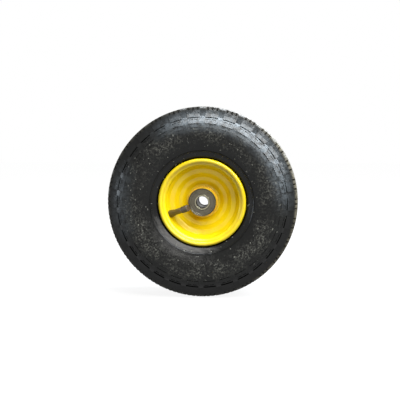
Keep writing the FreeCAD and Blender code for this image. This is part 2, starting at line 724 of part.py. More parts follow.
def valve_place():
    """Where the valve leaves the front half's slope: local Y is the valve's axis, outwards, and y = 0 the paint."""
    drop, run, length = value("slope_drop"), value("slope_run"), value("slope_length")
    radius = value("slope_middle_radius") - value("steel") * drop / length
    half = value("slope_middle_half") + value("steel") * run / length
    turn = math.radians(value("valve_angle"))
    outward = V(math.sin(turn), 0, math.cos(turn))
    axis = outward * (-drop / length) + V(0, -run / length, 0)
    return FreeCAD.Placement(outward * radius + V(0, -half, 0), FreeCAD.Rotation(V(0, 1, 0), axis))


def drilled(name, piece, radius):
    """A piece with a round hole through it on the valve's axis."""
    drill = doc.addObject("Part::Cylinder", f"{name}_drill")
    drive(drill, Radius=radius, Height="2 * stem_length")
    along = FreeCAD.Placement(V(0, -value("stem_length"), 0), FreeCAD.Rotation(V(0, 0, 1), V(0, 1, 0)))
    drill.Placement = valve_place().multiply(along)
    return cut(name, piece, drill)


def rim_half(name):
    """Half of the rim: collar, flat welding ring, two lands with steps, valve slope, bead seat and rolled lip."""
    roll_radius, roll_half = "(flange_radius - roll_radius)", "(rim_half + roll_radius)"
    path = [
        ("hub_radius + seat_clearance", "collar_length"),
        ("hub_radius + seat_clearance", "0", "press_bend"),
        ("weld_ring_radius", "0", "press_bend"),
        ("inner_land_radius", "inner_land_half", "press_bend"),
        ("step_foot_radius", "step_foot_half", "press_bend"),
        ("outer_land_radius", "outer_land_half", "press_bend"),
        ("slope_foot_radius", "slope_foot_half", "press_bend"),
        ("bead_seat_radius", "seat_inner_half", "press_bend"),
        ("bead_seat_radius", "rim_half", "seat_bend"),
        (roll_radius, "rim_half"),
        [f"{roll_radius} + roll_radius * cos(roll_turn / 2 - 90)", f"{roll_half} + roll_radius * sin(roll_turn / 2 - 90)"],
        (f"{roll_radius} + roll_radius * cos(roll_turn - 90)", f"{roll_half} + roll_radius * sin(roll_turn - 90)"),
    ]
    return sheet_metal(name, mirror(path), "-steel")


# Hub

def hub_tube():
    pocket = "(bearing_radius + seat_clearance)"
    side = [
        ("hub_radius", "hub_half - hub_chamfer"),
        ("hub_radius - hub_chamfer", "hub_half"),
        (f"{pocket} + hub_chamfer / 2", "hub_half"),
        (pocket, "hub_half - hub_chamfer / 2"),
        (pocket, "bearing_inner_half"),
        ("hub_inner_radius", "bearing_inner_half"),
    ]
    return turned_body("hub_tube", both_sides(side))


def bearing_spacer():
    inside = "(bore_radius + spacer_clearance)"
    side = [(f"{inside} + spacer_wall", "bearing_inner_half"), (inside, "bearing_inner_half")]
    return turned_body("bearing_spacer", both_sides(side))


# Ball bearings, each made about its own centre and then carried to its end of the hub

def bearing_place(rear):
    shift = FreeCAD.Placement(V(0, -value("bearing_inner_half + bearing_width / 2"), 0), FreeCAD.Rotation())
    return HALF_TURN.multiply(shift) if rear else shift


def race_half(land, bottom, inward):
    """Half width of a race groove where it meets the ring's land."""
    centre = f"({bottom} {'-' if inward else '+'} race_curve)"
    return f"sqrt(race_curve^2 - ({land} - {centre})^2)"


def outer_ring(name):
    side = [
        ("bearing_radius", "bearing_width / 2 - ring_chamfer"),
        ("bearing_radius - ring_chamfer", "bearing_width / 2"),
        ("shield_seat_radius + ring_chamfer / 2", "bearing_width / 2"),
        ("shield_seat_radius", "bearing_width / 2 - ring_chamfer / 2"),
        ("shield_seat_radius", "shield_seat_half"),
        ("outer_land", "shield_seat_half"),
        ("outer_land", race_half("outer_land", "outer_race", inward=True)),
    ]
    return turned_body(name, [*side, ["outer_race", "0"], *mirror(side)])


def inner_ring(name):
    side = [
        ("inner_land", race_half("inner_land", "inner_race", inward=False)),
        ("inner_land", "bearing_width / 2 - ring_chamfer"),
        ("inner_land - ring_chamfer", "bearing_width / 2"),
        ("bore_radius + ring_chamfer", "bearing_width / 2"),
        ("bore_radius", "bearing_width / 2 - ring_chamfer"),
    ]
    return turned_body(name, [*both_sides(side), ["inner_race", "0"]])


def spheres(body, radius):
    """A ring of spheres on the ball circle, with their poles along the axle."""
    ball = body.newObject("PartDesign::AdditiveSphere", f"{body.Name}_sphere")
    ball.Placement = FreeCAD.Placement(V(), FreeCAD.Rotation(V(1, 0, 0), 90))
    drive(ball, **{"Radius": radius, "Placement.Base.x": "ball_circle_radius"})
    polar(body, [ball], "ball_count")
    return body


def balls(name):
    return spheres(new_body(name), "ball_radius")


def rivet_spots():
    """Formulas for the centres of the cage rivets, half way between the balls."""
    for index in range(int(value("ball_count"))):
        turn = f"({index} + 0.5) * 360 / ball_count"
        yield f"ball_circle_radius * cos({turn})", f"ball_circle_radius * sin({turn})"


def circles(body, name, radius, offset=None):
    drawing = Drawing(sketch_on(body, "XZ_Plane", name, offset=offset))
    for x, z in rivet_spots():
        drawing.circle(x, z, radius)
    return drawing.finish()


def cage_half(name):
    """One ribbon of the cage: a flat ring with a round pocket half over each ball and a hole for each rivet."""
    body = new_body(f"{name}_ribbon")
    inside, outside = "(inner_land + cage_gap)", "(outer_land - cage_gap)"
    pocket = "(ball_radius + pocket_clearance)"
    reach = "(bearing_width / 2)"
    ribbon = [(inside, "0"), (outside, "0"), (outside, "-cage_thickness"), (inside, "-cage_thickness")]
    revolve(body, draw(sketch_on(body, "XY_Plane", f"{name}_flat"), ribbon))
    spheres(body, f"{pocket} + cage_thickness")
    behind = [("bore_radius", "0"), ("bearing_radius", "0"), ("bearing_radius", reach), ("bore_radius", reach)]
    revolve(body, draw(sketch_on(body, "XY_Plane", f"{name}_back"), behind), "Groove")
    outer = [(outside, f"-{reach}"), ("bearing_radius", f"-{reach}"), ("bearing_radius", "0"), (outside, "0")]
    inner = [("bore_radius", f"-{reach}"), (inside, f"-{reach}"), (inside, "0"), ("bore_radius", "0")]
    revolve(body, draw(sketch_on(body, "XY_Plane", f"{name}_edges"), outer, inner), "Groove")
    holes = body.newObject("PartDesign::Pocket", f"{name}_holes")
    holes.Profile = circles(body, f"{name}_hole_circles", "rivet_radius + seat_clearance")
    holes.Midplane = True
    holes.Type = "ThroughAll"
    return cut(f"{name}_half", body, spheres(new_body(f"{name}_pockets"), pocket))


def cage_rivets(name):
    """The rivets of a cage: shanks through both ribbons and a flat head on each side."""
    body = new_body(name)
    shanks = body.newObject("PartDesign::Pad", f"{name}_shanks")
    shanks.Profile = circles(body, f"{name}_shank_circles", "rivet_radius")
    shanks.Midplane = True
    drive(shanks, Length="2 * (cage_thickness + seat_clearance)")
    for side, reverse in (("-", True), ("", False)):
        face = f"{side}(cage_thickness + seat_clearance)"
        heads = body.newObject("PartDesign::Pad", f"{name}_{'rear' if reverse else 'front'}_heads")
        heads.Profile = circles(body, f"{heads.Name}_circles", "rivet_head_radius", face)
        heads.Reversed = reverse
        drive(heads, Length="rivet_head_height")
    body.Tip = heads
    return body


def shield(name, inner):
    """A pressed washer with a short rim that sits on the step of the outer ring."""
    seat = "(shield_seat_radius - seat_clearance)"
    path = [
        ("inner_land + shield_gap", "shield_face_half"),
        (seat, "shield_face_half", "shield_bend"),
        (seat, "shield_seat_half + seat_clearance"),
    ]
    return sheet_metal(name, path if inner else mirror(path), "shield_thickness")


# Valve, each piece turned about its own Y axis and then set on the slope

def valve_pieces():
    flange_back = "(-(steel + seat_clearance + stem_flange))"
    bonded = "(insert_radius + seat_clearance)"
    guide = "(pin_radius + pin_gap)"
    cup = "(seal_radius - seal_lip)"
    yield "valve_stem", [
        (bonded, flange_back),
        ("stem_flange_radius", flange_back),
        ("stem_flange_radius", "-(steel + seat_clearance)"),
        ("stem_radius", "-(steel + seat_clearance)"),
        ("stem_radius", "stem_collar", "stem_collar_bend"),
        ("stem_tip_radius", "stem_taper", "stem_taper_bend"),
        ("stem_tip_radius", "stem_length", "stem_tip_bend"),
        (bonded, "stem_length"),
    ]
    yield "valve_insert", [
        ("insert_bore", flange_back),
        ("insert_radius", flange_back),
        ("insert_radius", "stem_length + seat_clearance"),
        ("thread_radius", "stem_length + seat_clearance"),
        ("thread_radius", "thread_end - thread_chamfer"),
        ("thread_radius - thread_chamfer", "thread_end"),
        ("core_hole", "thread_end"),
        ("core_hole", "core_bottom - core_gap"),
        ("insert_bore", "core_bottom - core_gap"),
    ]
    yield "valve_core_body", [
        (guide, "core_bottom"),
        ("core_radius", "core_bottom"),
        ("core_radius", "core_top"),
        ("core_bore", "core_top"),
        ("core_bore", "core_floor_top"),
        (guide, "core_floor_top"),
    ]
    yield "valve_core_pin", [
        ("0", "pin_bottom"),
        (cup, "pin_bottom"),
        (cup, "seal_foot"),
        ("pin_radius", "seal_foot"),
        ("pin_radius", "pin_collar_bottom"),
        ("spring_radius + spring_wire", "pin_collar_bottom"),
        ("spring_radius + spring_wire", "pin_collar_top"),
        ("pin_radius", "pin_collar_top"),
        ("pin_radius", "pin_top"),
        ("0", "pin_top"),
    ]
    yield "valve_core_seal", [
        ("pin_radius + seat_clearance", "seal_foot"),
        ("seal_radius", "seal_foot"),
        ("seal_radius", "core_bottom"),
        ("pin_radius + seat_clearance", "core_bottom"),
    ]
    yield "valve_cap", [
        ("cap_bore", "cap_start"),
        ("cap_radius", "cap_start"),
        ("cap_radius", "cap_end", "cap_bend"),
        ("0", "cap_end"),
        ("0", "cap_end - cap_top"),
        ("cap_bore", "cap_end - cap_top"),
    ]


def cap_flutes(body):
    """Grip flutes round the cap, stopped short of its closed end."""
    sketch = sketch_on(body, "XZ_Plane", "cap_flute", offset="-cap_start")
    drawing = Drawing(sketch)
    drawing.circle("cap_radius + cap_flute_radius / 2", "0", "cap_flute_radius")
    flute = body.newObject("PartDesign::Pocket", "cap_flute_cut")
    flute.Profile = drawing.finish()
    drive(flute, Length="cap_end - cap_start - cap_flute_stop")
    polar(body, [flute], "cap_flutes")


def core_spring(name):
    """The spring in the valve's core: round wire wound about the pin, from the core's floor to the pin's collar."""
    bottom, top = value("core_floor_top + spring_wire"), value("pin_collar_bottom - spring_wire")
    radius, wire = value("spring_radius"), value("spring_wire")
    pitch = (top - bottom) / value("spring_turns")
    line = Part.makeHelix(pitch, top - bottom, radius)
    end = Part.Wire(Part.makeCircle(wire, V(radius, 0, 0), V(0, radius * 2 * math.pi, pitch)))
    piece = doc.addObject("Part::Feature", name)
    piece.Shape = Part.Wire(line.Edges).makePipeShell([end], True, True)
    upright = FreeCAD.Placement(V(0, bottom, 0), FreeCAD.Rotation(V(0, 0, 1), V(0, 1, 0)))
    return name_part(piece, name, valve_place().multiply(upright))


# The wheel

def build():
    """Every piece in its place, as a list."""
    pieces = [
        tyre(),
        inner_tube(),
        name_part(drilled("rim_with_valve_hole", rim_half("front_half"), "valve_hole_radius"), "rim_front"),
        name_part(rim_half("rear_half"), "rim_rear", HALF_TURN),
        hub_tube(),
        bearing_spacer(),
    ]
    for side in ("front", "rear"):
        place = bearing_place(side == "rear")
        turned = FreeCAD.Placement(V(), FreeCAD.Rotation(V(1, 0, 0), 180))
        pieces += [
            name_part(outer_ring(f"{side}_outer_ring"), f"{side}_outer_ring", place),
            name_part(inner_ring(f"{side}_inner_ring"), f"{side}_inner_ring", place),
            name_part(balls(f"{side}_balls"), f"{side}_balls", place),
            name_part(cage_half(f"{side}_cage_outer"), f"{side}_cage_outer", place),
            name_part(cage_half(f"{side}_cage_inner"), f"{side}_cage_inner", place.multiply(turned)),
            name_part(cage_rivets(f"{side}_cage_rivets"), f"{side}_cage_rivets", place),
            name_part(shield(f"{side}_shield_outer", inner=False), f"{side}_shield_outer", place),
            name_part(shield(f"{side}_shield_inner", inner=True), f"{side}_shield_inner", place),
        ]
    for name, outline in valve_pieces():
        body = turned_body(name, outline)
        if name == "valve_cap":
            cap_flutes(body)
        pieces.append(name_part(body, name, valve_place()))
    pieces.append(core_spring("valve_core_spring"))
    return pieces


def check(pieces):
    """Stop if any object failed to compute or any piece isn't a sound solid."""
    doc.recompute()
    for thing in doc.Objects:
        if "Invalid" in thing.State or "Error" in thing.State:
            raise RuntimeError(f"{thing.Label} failed: {thing.State}")
    for piece in pieces:
        if piece.Shape.isNull() or not piece.Shape.isValid() or piece.Shape.Volume <= 0:
            raise RuntimeError(f"{piece.Label} has no sound solid")


def write(pieces):
    os.makedirs("parts", exist_ok=True)
    for piece in pieces:
        piece.Shape.exportStep(f"parts/{piece.Label}.step")


pieces = build()
check(pieces)
write(pieces)
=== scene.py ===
"""Finishes, weld seams and studio for a pneumatic trolley wheel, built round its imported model."""
import math

import bmesh
import bpy
from mathutils import Matrix, Vector


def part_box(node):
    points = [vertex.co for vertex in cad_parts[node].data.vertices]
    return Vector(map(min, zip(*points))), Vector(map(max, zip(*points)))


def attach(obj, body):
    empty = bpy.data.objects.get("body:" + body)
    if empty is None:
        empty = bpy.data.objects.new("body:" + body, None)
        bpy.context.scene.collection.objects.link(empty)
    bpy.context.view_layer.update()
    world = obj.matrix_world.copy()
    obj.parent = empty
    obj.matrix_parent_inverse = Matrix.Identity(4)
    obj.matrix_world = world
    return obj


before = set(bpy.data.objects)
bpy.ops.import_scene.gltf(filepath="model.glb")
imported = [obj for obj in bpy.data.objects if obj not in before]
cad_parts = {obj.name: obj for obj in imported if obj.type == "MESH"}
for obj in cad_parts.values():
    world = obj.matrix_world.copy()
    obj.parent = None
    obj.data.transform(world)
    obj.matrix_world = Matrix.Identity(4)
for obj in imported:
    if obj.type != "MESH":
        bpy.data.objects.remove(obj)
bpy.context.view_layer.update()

bl_info = {
    "name": "Trolley Wheel Finishes",
    "version": (1, 0, 0),
    "blender": (4, 5, 0),
    "location": "View3D > Sidebar > Trolley Wheel",
    "description": "Rubber, enamel, steel and brass finishes for a pneumatic trolley wheel, and its studio",
    "category": "Object",
}

# Places on the wheel, in metres, with the axle along Y and the front at its negative end

WHEEL_MIDDLE = Vector((0, 0, 0))
TYRE_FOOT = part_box("tyre")[0][2]
TYRE_RADIUS = WHEEL_MIDDLE.z - TYRE_FOOT
HUB_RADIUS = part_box("hub_tube")[1][2]
HUB_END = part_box("hub_tube")[1][1]
# Radius inside which the bore's wall carries painted shade
BORE_SHADE_RADIUS = 0.0081


def rgb(name, description, default):
    """A colour property."""
    return bpy.props.FloatVectorProperty(name=name, description=description, default=default,
                                         subtype="COLOR", size=3, min=0, max=1)


def number(name, description, default, **limits):
    """A number property."""
    return bpy.props.FloatProperty(name=name, description=description, default=default, **limits)


def power(name, description, default):
    """A lamp's power in watts."""
    return number(name, description, default, unit="POWER", min=0, max=500)


class WheelFinishSettings(bpy.types.PropertyGroup):
    """Colours of the wheel's materials."""

    rubber: rgb("Rubber", "Colour of the clean tyre", (0.0035, 0.0037, 0.0033))
    grit: rgb("Grit", "Colour of the dry spatter on the tyre's side", (0.2, 0.202, 0.178))
    # The painted sheen is a bluish grey painted on the tyre's shoulder in place of a reflection
    painted_sheen: rgb("Painted sheen", "Colour of the bloom on the tyre's shoulder", (0.115, 0.133, 0.147))
    dust: rgb("Dust", "Colour of the dust on the tread", (0.23, 0.21, 0.15))
    paint: rgb("Enamel", "Colour of the rim's enamel", (0.86, 0.665, 0.006))
    paint_deep: rgb("Deep enamel", "Colour of the enamel where it lies thick", (0.82, 0.6, 0.004))
    grime: rgb("Grime", "Colour of the grime on the enamel", (0.42, 0.22, 0.01))
    ring_steel: rgb("Ring steel", "Colour of the bearings' outer rings and the spacer", (0.18, 0.165, 0.12))
    inner_ring_steel: rgb("Inner ring steel", "Colour of the bearings' inner rings", (0.3, 0.28, 0.2))
    bare_steel: rgb("Hub steel", "Colour of the hub's bare ends", (0.13, 0.115, 0.085))
    shield_steel: rgb("Shield steel", "Colour of the bearing shields", (0.12, 0.108, 0.08))
    ball_steel: rgb("Ball steel", "Colour of the bearing balls", (0.7, 0.7, 0.7))
    cage_steel: rgb("Cage steel", "Colour of the ball cages and their rivets", (0.42, 0.4, 0.37))
    # Painted shade: a near-black colour painted on the wall of the axle's bore
    bore_shade: rgb("Bore shade", "Colour of the grease in the axle's bore", (0.012, 0.009, 0.005))
    brass: rgb("Brass", "Colour of the valve's brass", (0.62, 0.43, 0.17))
    pin_steel: rgb("Valve steel", "Colour of the valve core's pin and spring", (0.5, 0.5, 0.5))
    stem: rgb("Valve rubber", "Colour of the valve stem", (0.1, 0.072, 0.022))
    cap: rgb("Valve cap", "Colour of the valve cap", (0.075, 0.05, 0.025))
    seal: rgb("Valve seal", "Colour of the valve core's seal", (0.09, 0.02, 0.02))
    film: rgb("Film", "Colour of the dust on the valve and the inner tube", (0.12, 0.09, 0.06))


class WheelWeldSettings(bpy.types.PropertyGroup):
    """Sizes of the weld that holds the rim's collar on the hub."""

    collar_end: number("Collar end", "Distance of the collar's end from the wheel's middle", 0.0085,
                       unit="LENGTH", min=0, max=0.05)
    bead: number("Bead", "Radius of the weld bead", 0.0011, unit="LENGTH", min=0.0002, max=0.005)
    ripples: bpy.props.IntProperty(name="Ripples", description="Ripples round the weld", default=46,
                                   min=8, max=200)
    ripple_height: number("Ripple height", "Height of the ripples on the bead", 0.00022,
                          unit="LENGTH", min=0, max=0.001)


class WheelStageSettings(bpy.types.PropertyGroup):
    """Camera and lamps."""

    azimuth: number("Azimuth", "Camera's turn to the right round the wheel", math.radians(3.8),
                    subtype="ANGLE")
    elevation: number("Elevation", "Camera's height above the wheel's middle", math.radians(4.5),
                      subtype="ANGLE")
    distance: number("Distance", "Camera's distance from the wheel's middle", 1.1,
                     unit="LENGTH", min=0.3, max=10)
    lens: number("Lens", "Camera's focal length in millimetres", 71.3, unit="CAMERA", min=10, max=300)
    key_bearing: number("Lamp bearing", "Place of the lamps round the axle, from the right upwards",
                        math.radians(63), subtype="ANGLE")
    front_power: power("Front lamp", "Power of the lamp before the wheel", 2.9)
    key_power: power("Key lamp", "Power of the key lamp", 34.0)
    sky_power: power("Sky lamp", "Power of the long lamp overhead", 66.0)
    side_power: power("Side lamp", "Power of the small lamp at the left", 6.0)
    back_power: power("Back lamp", "Power of the lamp behind the wheel", 14.0)
    fill: number("Fill", "Strength of the light from all round", 0.03, min=0, max=3)


# Node graphs

def colour_value(colour):
    """An output as it is, and a plain colour with its alpha."""
    return colour if isinstance(colour, bpy.types.NodeSocket) else (*colour, 1)


def darker(colour, share):
    """A colour cut down to a share of its strength."""
    return tuple(part * share for part in colour)


class Graph:
    """A material under construction, whose patterns all come from places on the object."""

    def __init__(self, start):
        self.material = bpy.data.materials.new(start) if isinstance(start, str) else start
        self.material.use_nodes = True
        self.tree = self.material.node_tree
        self.shader = self.tree.nodes["Principled BSDF"]
        self.place = self.tree.nodes.new("ShaderNodeTexCoord").outputs["Object"]

    def node(self, kind, **settings):
        made = self.tree.nodes.new(kind)
        for name, setting in settings.items():
            setattr(made, name, setting)
        return made

    def plug(self, source, socket):
        """Link an output to a socket, or write a plain value into it."""
        if isinstance(source, bpy.types.NodeSocket):
            self.tree.links.new(source, socket)
        else:
            socket.default_value = source

    def math(self, operation, *inputs):
        made = self.node("ShaderNodeMath", operation=operation)
        for source, socket in zip(inputs, made.inputs):
            self.plug(source, socket)
        return made.outputs[0]

    def product(self, first, *others):
        """All the factors multiplied together."""
        for other in others:
            first = self.math("MULTIPLY", first, other)
        return first

    def axes(self, place=None):
        """The three coordinates of a place."""
        made = self.node("ShaderNodeSeparateXYZ")
        self.plug(place or self.place, made.inputs[0])
        return made.outputs

    def length(self, first, second):
        """Length of the straight line over two steps at a right angle."""
        squares = self.math("ADD", self.product(first, first), self.product(second, second))
        return self.math("SQRT", squares)

    def radius(self):
        """Distance from the axle."""
        x, _, z = self.axes()
        return self.length(x, z)

    def noise(self, size, detail, roughness):
        """Cloudy pattern whose largest lumps are about the given size in metres."""
        made = self.node("ShaderNodeTexNoise")
        self.plug(self.place, made.inputs["Vector"])
        made.inputs["Scale"].default_value = 1 / size
        made.inputs["Detail"].default_value = detail
        made.inputs["Roughness"].default_value = roughness
        return made.outputs["Fac"]

    def ramp(self, factor, low, high, start=0.0, end=1.0):
        """Smooth change from a start to an end between two limits of the factor."""
        made = self.node("ShaderNodeMapRange", clamp=True, interpolation_type="SMOOTHSTEP")
        for source, name in ((factor, "Value"), (low, "From Min"), (high, "From Max"), (start, "To Min"),
                             (end, "To Max")):
            self.plug(source, made.inputs[name])
        return made.outputs["Result"]

    def band(self, factor, low, high, fade):
        """One between two limits, fading to nothing outside them."""
        return self.product(self.ramp(factor, low - fade, low + fade),
                            self.ramp(factor, high - fade, high + fade, start=1.0, end=0.0))

    def clouds(self, size, detail, roughness, low, high, thin=0.0, thick=1.0):
        """Noise that goes from a thin value to a thick one between two of its levels."""
        return self.ramp(self.noise(size, detail, roughness), low, high, thin, thick)

    def mix(self, factor, first, second):
        made = self.node("ShaderNodeMix", data_type="RGBA")
        self.plug(factor, made.inputs["Factor"])
        self.plug(colour_value(first), made.inputs["A"])
        self.plug(colour_value(second), made.inputs["B"])
        return made.outputs["Result"]

    def bump(self, height, depth, under=None):
        """Relief of a depth in metres, over another relief where one is given."""
        made = self.node("ShaderNodeBump")
        made.inputs["Distance"].default_value = depth
        self.plug(height, made.inputs["Height"])
        if under:
            self.plug(under, made.inputs["Normal"])
        return made.outputs["Normal"]

    def finish(self, colour, roughness, normal=None, **constants):
        """Plug colour, roughness and relief into the shader, set its constants and return the material."""
        self.plug(colour_value(colour), self.shader.inputs["Base Color"])
        self.plug(roughness, self.shader.inputs["Roughness"])
        if normal:
            self.plug(normal, self.shader.inputs["Normal"])
        for name, constant in constants.items():
            self.shader.inputs[name].default_value = constant
        return self.material


# Materials

def tyre_rubber(look):
    """Black moulded rubber with dry spatter on its side, a painted sheen on its shoulder and dust on its
    tread.
    """
    graph = Graph("tyre_rubber")
    radius = graph.radius()
    inwards = graph.math("SUBTRACT", TYRE_RADIUS, radius)
    x, _, z = graph.axes()
    rightwards = graph.math("DIVIDE", x, radius)

    # Fine spatter in patches round the middle of the side, and single specks
    patches = graph.clouds(size=0.03, detail=3, roughness=0.6, low=0.38, high=0.62, thin=0.12)
    spatter = graph.product(graph.clouds(size=0.003, detail=4, roughness=0.8, low=0.45, high=0.66, thick=0.5),
                            graph.band(inwards, low=0.026, high=0.05, fade=0.01), patches)
    specks = graph.product(graph.clouds(size=0.0036, detail=1, roughness=0.5, low=0.7, high=0.76, thick=0.75),
                           graph.ramp(inwards, low=0.01, high=0.028))
    dirt = graph.math("MAXIMUM", spatter, specks)
    colour = graph.mix(dirt, look.rubber, look.grit)

    # Painted sheen on the shoulder, a bluish grey painted into the colour in place of a reflection, strongest
    # at the upper right and with a little at the far left
    sheen_x, sheen_z = 0.5, 0.87
    towards_sheen = graph.math("ADD", graph.product(x, sheen_x), graph.product(z, sheen_z))
    towards_sheen = graph.math("DIVIDE", towards_sheen, radius)
    sheen_sides = graph.math("ADD", graph.ramp(towards_sheen, low=0.3, high=0.9),
                       graph.ramp(rightwards, low=-1.0, high=-0.85, start=0.4, end=0.0))
    mottle = graph.clouds(size=0.007, detail=5, roughness=0.75, low=0.36, high=0.6, thin=0.22, thick=0.95)
    painted_sheen = graph.product(graph.band(inwards, low=0.01, high=0.03, fade=0.011), sheen_sides, mottle)
    colour = graph.mix(painted_sheen, colour, look.painted_sheen)

    # Patchy dust on the tread, thickest at the right
    caked = graph.product(graph.ramp(inwards, low=0.0025, high=0.0065, start=1.0, end=0.0),
                          graph.ramp(rightwards, low=0.3, high=1.0, start=0.08, end=0.5),
                          graph.clouds(size=0.009, detail=5, roughness=0.75, low=0.35, high=0.62, thin=0.25))
    colour = graph.mix(caked, colour, look.dust)

    # The gloss is lost where there is dirt, and a little by chance
    most_chance = 0.3
    chance = graph.product(graph.noise(size=0.009, detail=4, roughness=0.6), most_chance)
    dullness = graph.math("ADD", graph.math("MAXIMUM", dirt, caked), chance)
    roughness = graph.ramp(dullness, low=0.0, high=1.0, start=0.15, end=0.7)
    grain = graph.bump(graph.noise(size=0.0007, detail=3, roughness=0.6), depth=0.0001)
    normal = graph.bump(graph.noise(size=0.006, detail=3, roughness=0.5), depth=0.0004, under=grain)
    return graph.finish(colour, roughness, normal, **{"Specular IOR Level": 0.22})


def rim_paint(look, name="rim_paint"):
    """Glossy enamel over pressed steel, thicker in places, with a faint orange peel and spots of grime."""
    graph = Graph(name)
    thick = graph.clouds(size=0.02, detail=3, roughness=0.6, low=0.4, high=0.75)
    colour = graph.mix(thick, look.paint, look.paint_deep)
    grime = graph.clouds(size=0.0035, detail=4, roughness=0.7, low=0.6, high=0.75, thick=0.25)
    colour = graph.mix(grime, colour, look.grime)
    roughness = graph.clouds(size=0.01, detail=3, roughness=0.5, low=0.3, high=0.8, thin=0.15, thick=0.24)
    peel = graph.bump(graph.noise(size=0.0028, detail=2, roughness=0.4), depth=0.00005)
    wave = graph.bump(graph.noise(size=0.017, detail=2, roughness=0.4), depth=0.0003, under=peel)
    return graph.finish(colour, roughness, wave, **{"Specular IOR Level": 0.5})


def hub_finish(look):
    """Enamel on the hub's outside that stops short of its ends, which are bare steel."""
    graph = Graph(rim_paint(look, "hub_paint"))
    _, along, _ = graph.axes()
    raggedness = 0.0012
    ragged = graph.product(graph.noise(size=0.004, detail=2, roughness=0.5), raggedness)
    place = graph.math("ADD", graph.math("ABSOLUTE", along), ragged)
    paint_starts_to_thin = HUB_END - 0.0004
    paint_ends = HUB_END + 0.0001
    bare = graph.ramp(place, low=paint_starts_to_thin, high=paint_ends)
    paint = graph.shader.inputs["Base Color"].links[0].from_socket
    graph.plug(graph.mix(bare, paint, look.bare_steel), graph.shader.inputs["Base Color"])
    graph.plug(bare, graph.shader.inputs["Metallic"])
    return graph.material


def turned_steel(look, name, colour, roughness, stain):
    """Steel turned round the axle, under a thin film of old oil, with painted shade, a near-black colour, on
    the wall of the bore.
    """
    graph = Graph(name)
    radius = graph.radius()
    marks = graph.node("ShaderNodeTexNoise", noise_dimensions="1D")
    marks_per_metre = 9000
    graph.plug(radius, marks.inputs["W"])
    graph.plug(marks_per_metre, marks.inputs["Scale"])
    oil = graph.clouds(size=0.006, detail=4, roughness=0.65, low=0.42, high=0.7, thick=stain)
    shade = graph.mix(oil, colour, darker(colour, share=0.4))
    # Painted shade: the wall of the bore is painted near-black and made not metallic
    fade = 0.0003
    bore_shade = graph.ramp(radius, low=BORE_SHADE_RADIUS, high=BORE_SHADE_RADIUS + fade, start=1.0, end=0.0)
    shade = graph.mix(bore_shade, shade, look.bore_shade)
    graph.plug(graph.ramp(bore_shade, low=0.0, high=1.0, start=0.9, end=0.0), graph.shader.inputs["Metallic"])
    normal = graph.bump(marks.outputs["Fac"], depth=0.00003)
    oily_roughness = roughness + 0.3
    uneven = graph.ramp(oil, low=0.0, high=1.0, start=roughness, end=oily_roughness)
    return graph.finish(shade, uneven, normal, **{"Specular IOR Level": 0.0})


def plain_steel(name, colour, roughness):
    """Bright steel with faint scratches."""
    graph = Graph(name)
    scratch = graph.clouds(size=0.001, detail=5, roughness=0.75, low=0.5, high=0.8)
    shade = graph.mix(scratch, colour, darker(colour, share=0.7))
    scratched_roughness = roughness + 0.2
    uneven = graph.ramp(scratch, low=0.0, high=1.0, start=roughness, end=scratched_roughness)
    return graph.finish(shade, uneven, Metallic=1.0)


def middle(node):
    """Middle of a CAD node's box."""
    low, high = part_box(node)
    return (Vector(low) + Vector(high)) / 2


def along_valve(graph):
    """Distance from the middle of the valve stem, measured along the valve towards its cap."""
    stem_middle = middle("valve_stem")
    turn = Vector((0, 1, 0)).rotation_difference(middle("valve_cap") - stem_middle)
    local = graph.node("ShaderNodeMapping", vector_type="TEXTURE")
    graph.plug(graph.place, local.inputs["Vector"])
    local.inputs["Location"].default_value = stem_middle
    local.inputs["Rotation"].default_value = turn.to_euler()
    return graph.axes(local.outputs["Vector"])[1]


def valve_brass(look):
    """Dull brass with a fine thread cut round the valve."""
    graph = Graph("valve_brass")
    pitch = 0.0008
    ridge = graph.math("PINGPONG", along_valve(graph), pitch / 2)
    tarnish = graph.clouds(size=0.0025, detail=4, roughness=0.7, low=0.4, high=0.75)
    colour = graph.mix(tarnish, look.brass, darker(look.brass, share=0.5))
    normal = graph.bump(graph.product(ridge, 1 / pitch), depth=pitch / 2)
    roughness = graph.ramp(tarnish, low=0.0, high=1.0, start=0.28, end=0.5)
    return graph.finish(colour, roughness, normal, Metallic=1.0)


def moulded(look, name, colour, roughness, grain, rings=0.0):
    """Smooth dark rubber or plastic with a fine grain and some dust, and rings round the valve if given."""
    graph = Graph(name)
    most_dust = 0.35
    dust = graph.clouds(size=0.0012, detail=4, roughness=0.7, low=0.55, high=0.75, thick=most_dust)
    shade = graph.mix(dust, colour, look.film)
    normal = graph.bump(graph.noise(size=grain, detail=3, roughness=0.6), depth=grain / 6)
    if rings:
        ridge = graph.math("PINGPONG", along_valve(graph), rings / 2)
        normal = graph.bump(ridge, depth=rings / 2, under=normal)
    dusty_roughness = roughness + 0.25
    uneven = graph.ramp(dust, low=0.0, high=0.4, start=roughness, end=dusty_roughness)
    return graph.finish(shade, uneven, normal)


# Pieces

def only(piece):
    """Select one object and nothing else."""
    bpy.ops.object.select_all(action="DESELECT")
    piece.select_set(True)
    bpy.context.view_layer.objects.active = piece


def dress(material, *nodes):
    """Give CAD nodes a material."""
    for name in nodes:
        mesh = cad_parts[name].data
        mesh.materials.clear()
        mesh.materials.append(material)


def both(*names):
    """Nodes of these names in the front bearing and in the rear one."""
    return [f"{side}_{name}" for side in ("front", "rear") for name in names]


class WHEEL_OT_tyre(bpy.types.Operator):
    """Dress the tyre and the tube inside it"""

    bl_idname = "wheel.tyre"
    bl_label = "Tyre Rubber"

    def execute(self, context):
        look = context.scene.wheel_finish
        dress(tyre_rubber(look), "tyre")
        dress(moulded(look, "tube_rubber", look.rubber, roughness=0.5, grain=0.001), "inner_tube")
        return {"FINISHED"}


class WHEEL_OT_rim(bpy.types.Operator):
    """Enamel both rim halves and the hub tube"""

    bl_idname = "wheel.rim"
    bl_label = "Rim Enamel"

    def execute(self, context):
        look = context.scene.wheel_finish
        dress(rim_paint(look), "rim_front", "rim_rear")
        dress(hub_finish(look), "hub_tube")
        return {"FINISHED"}


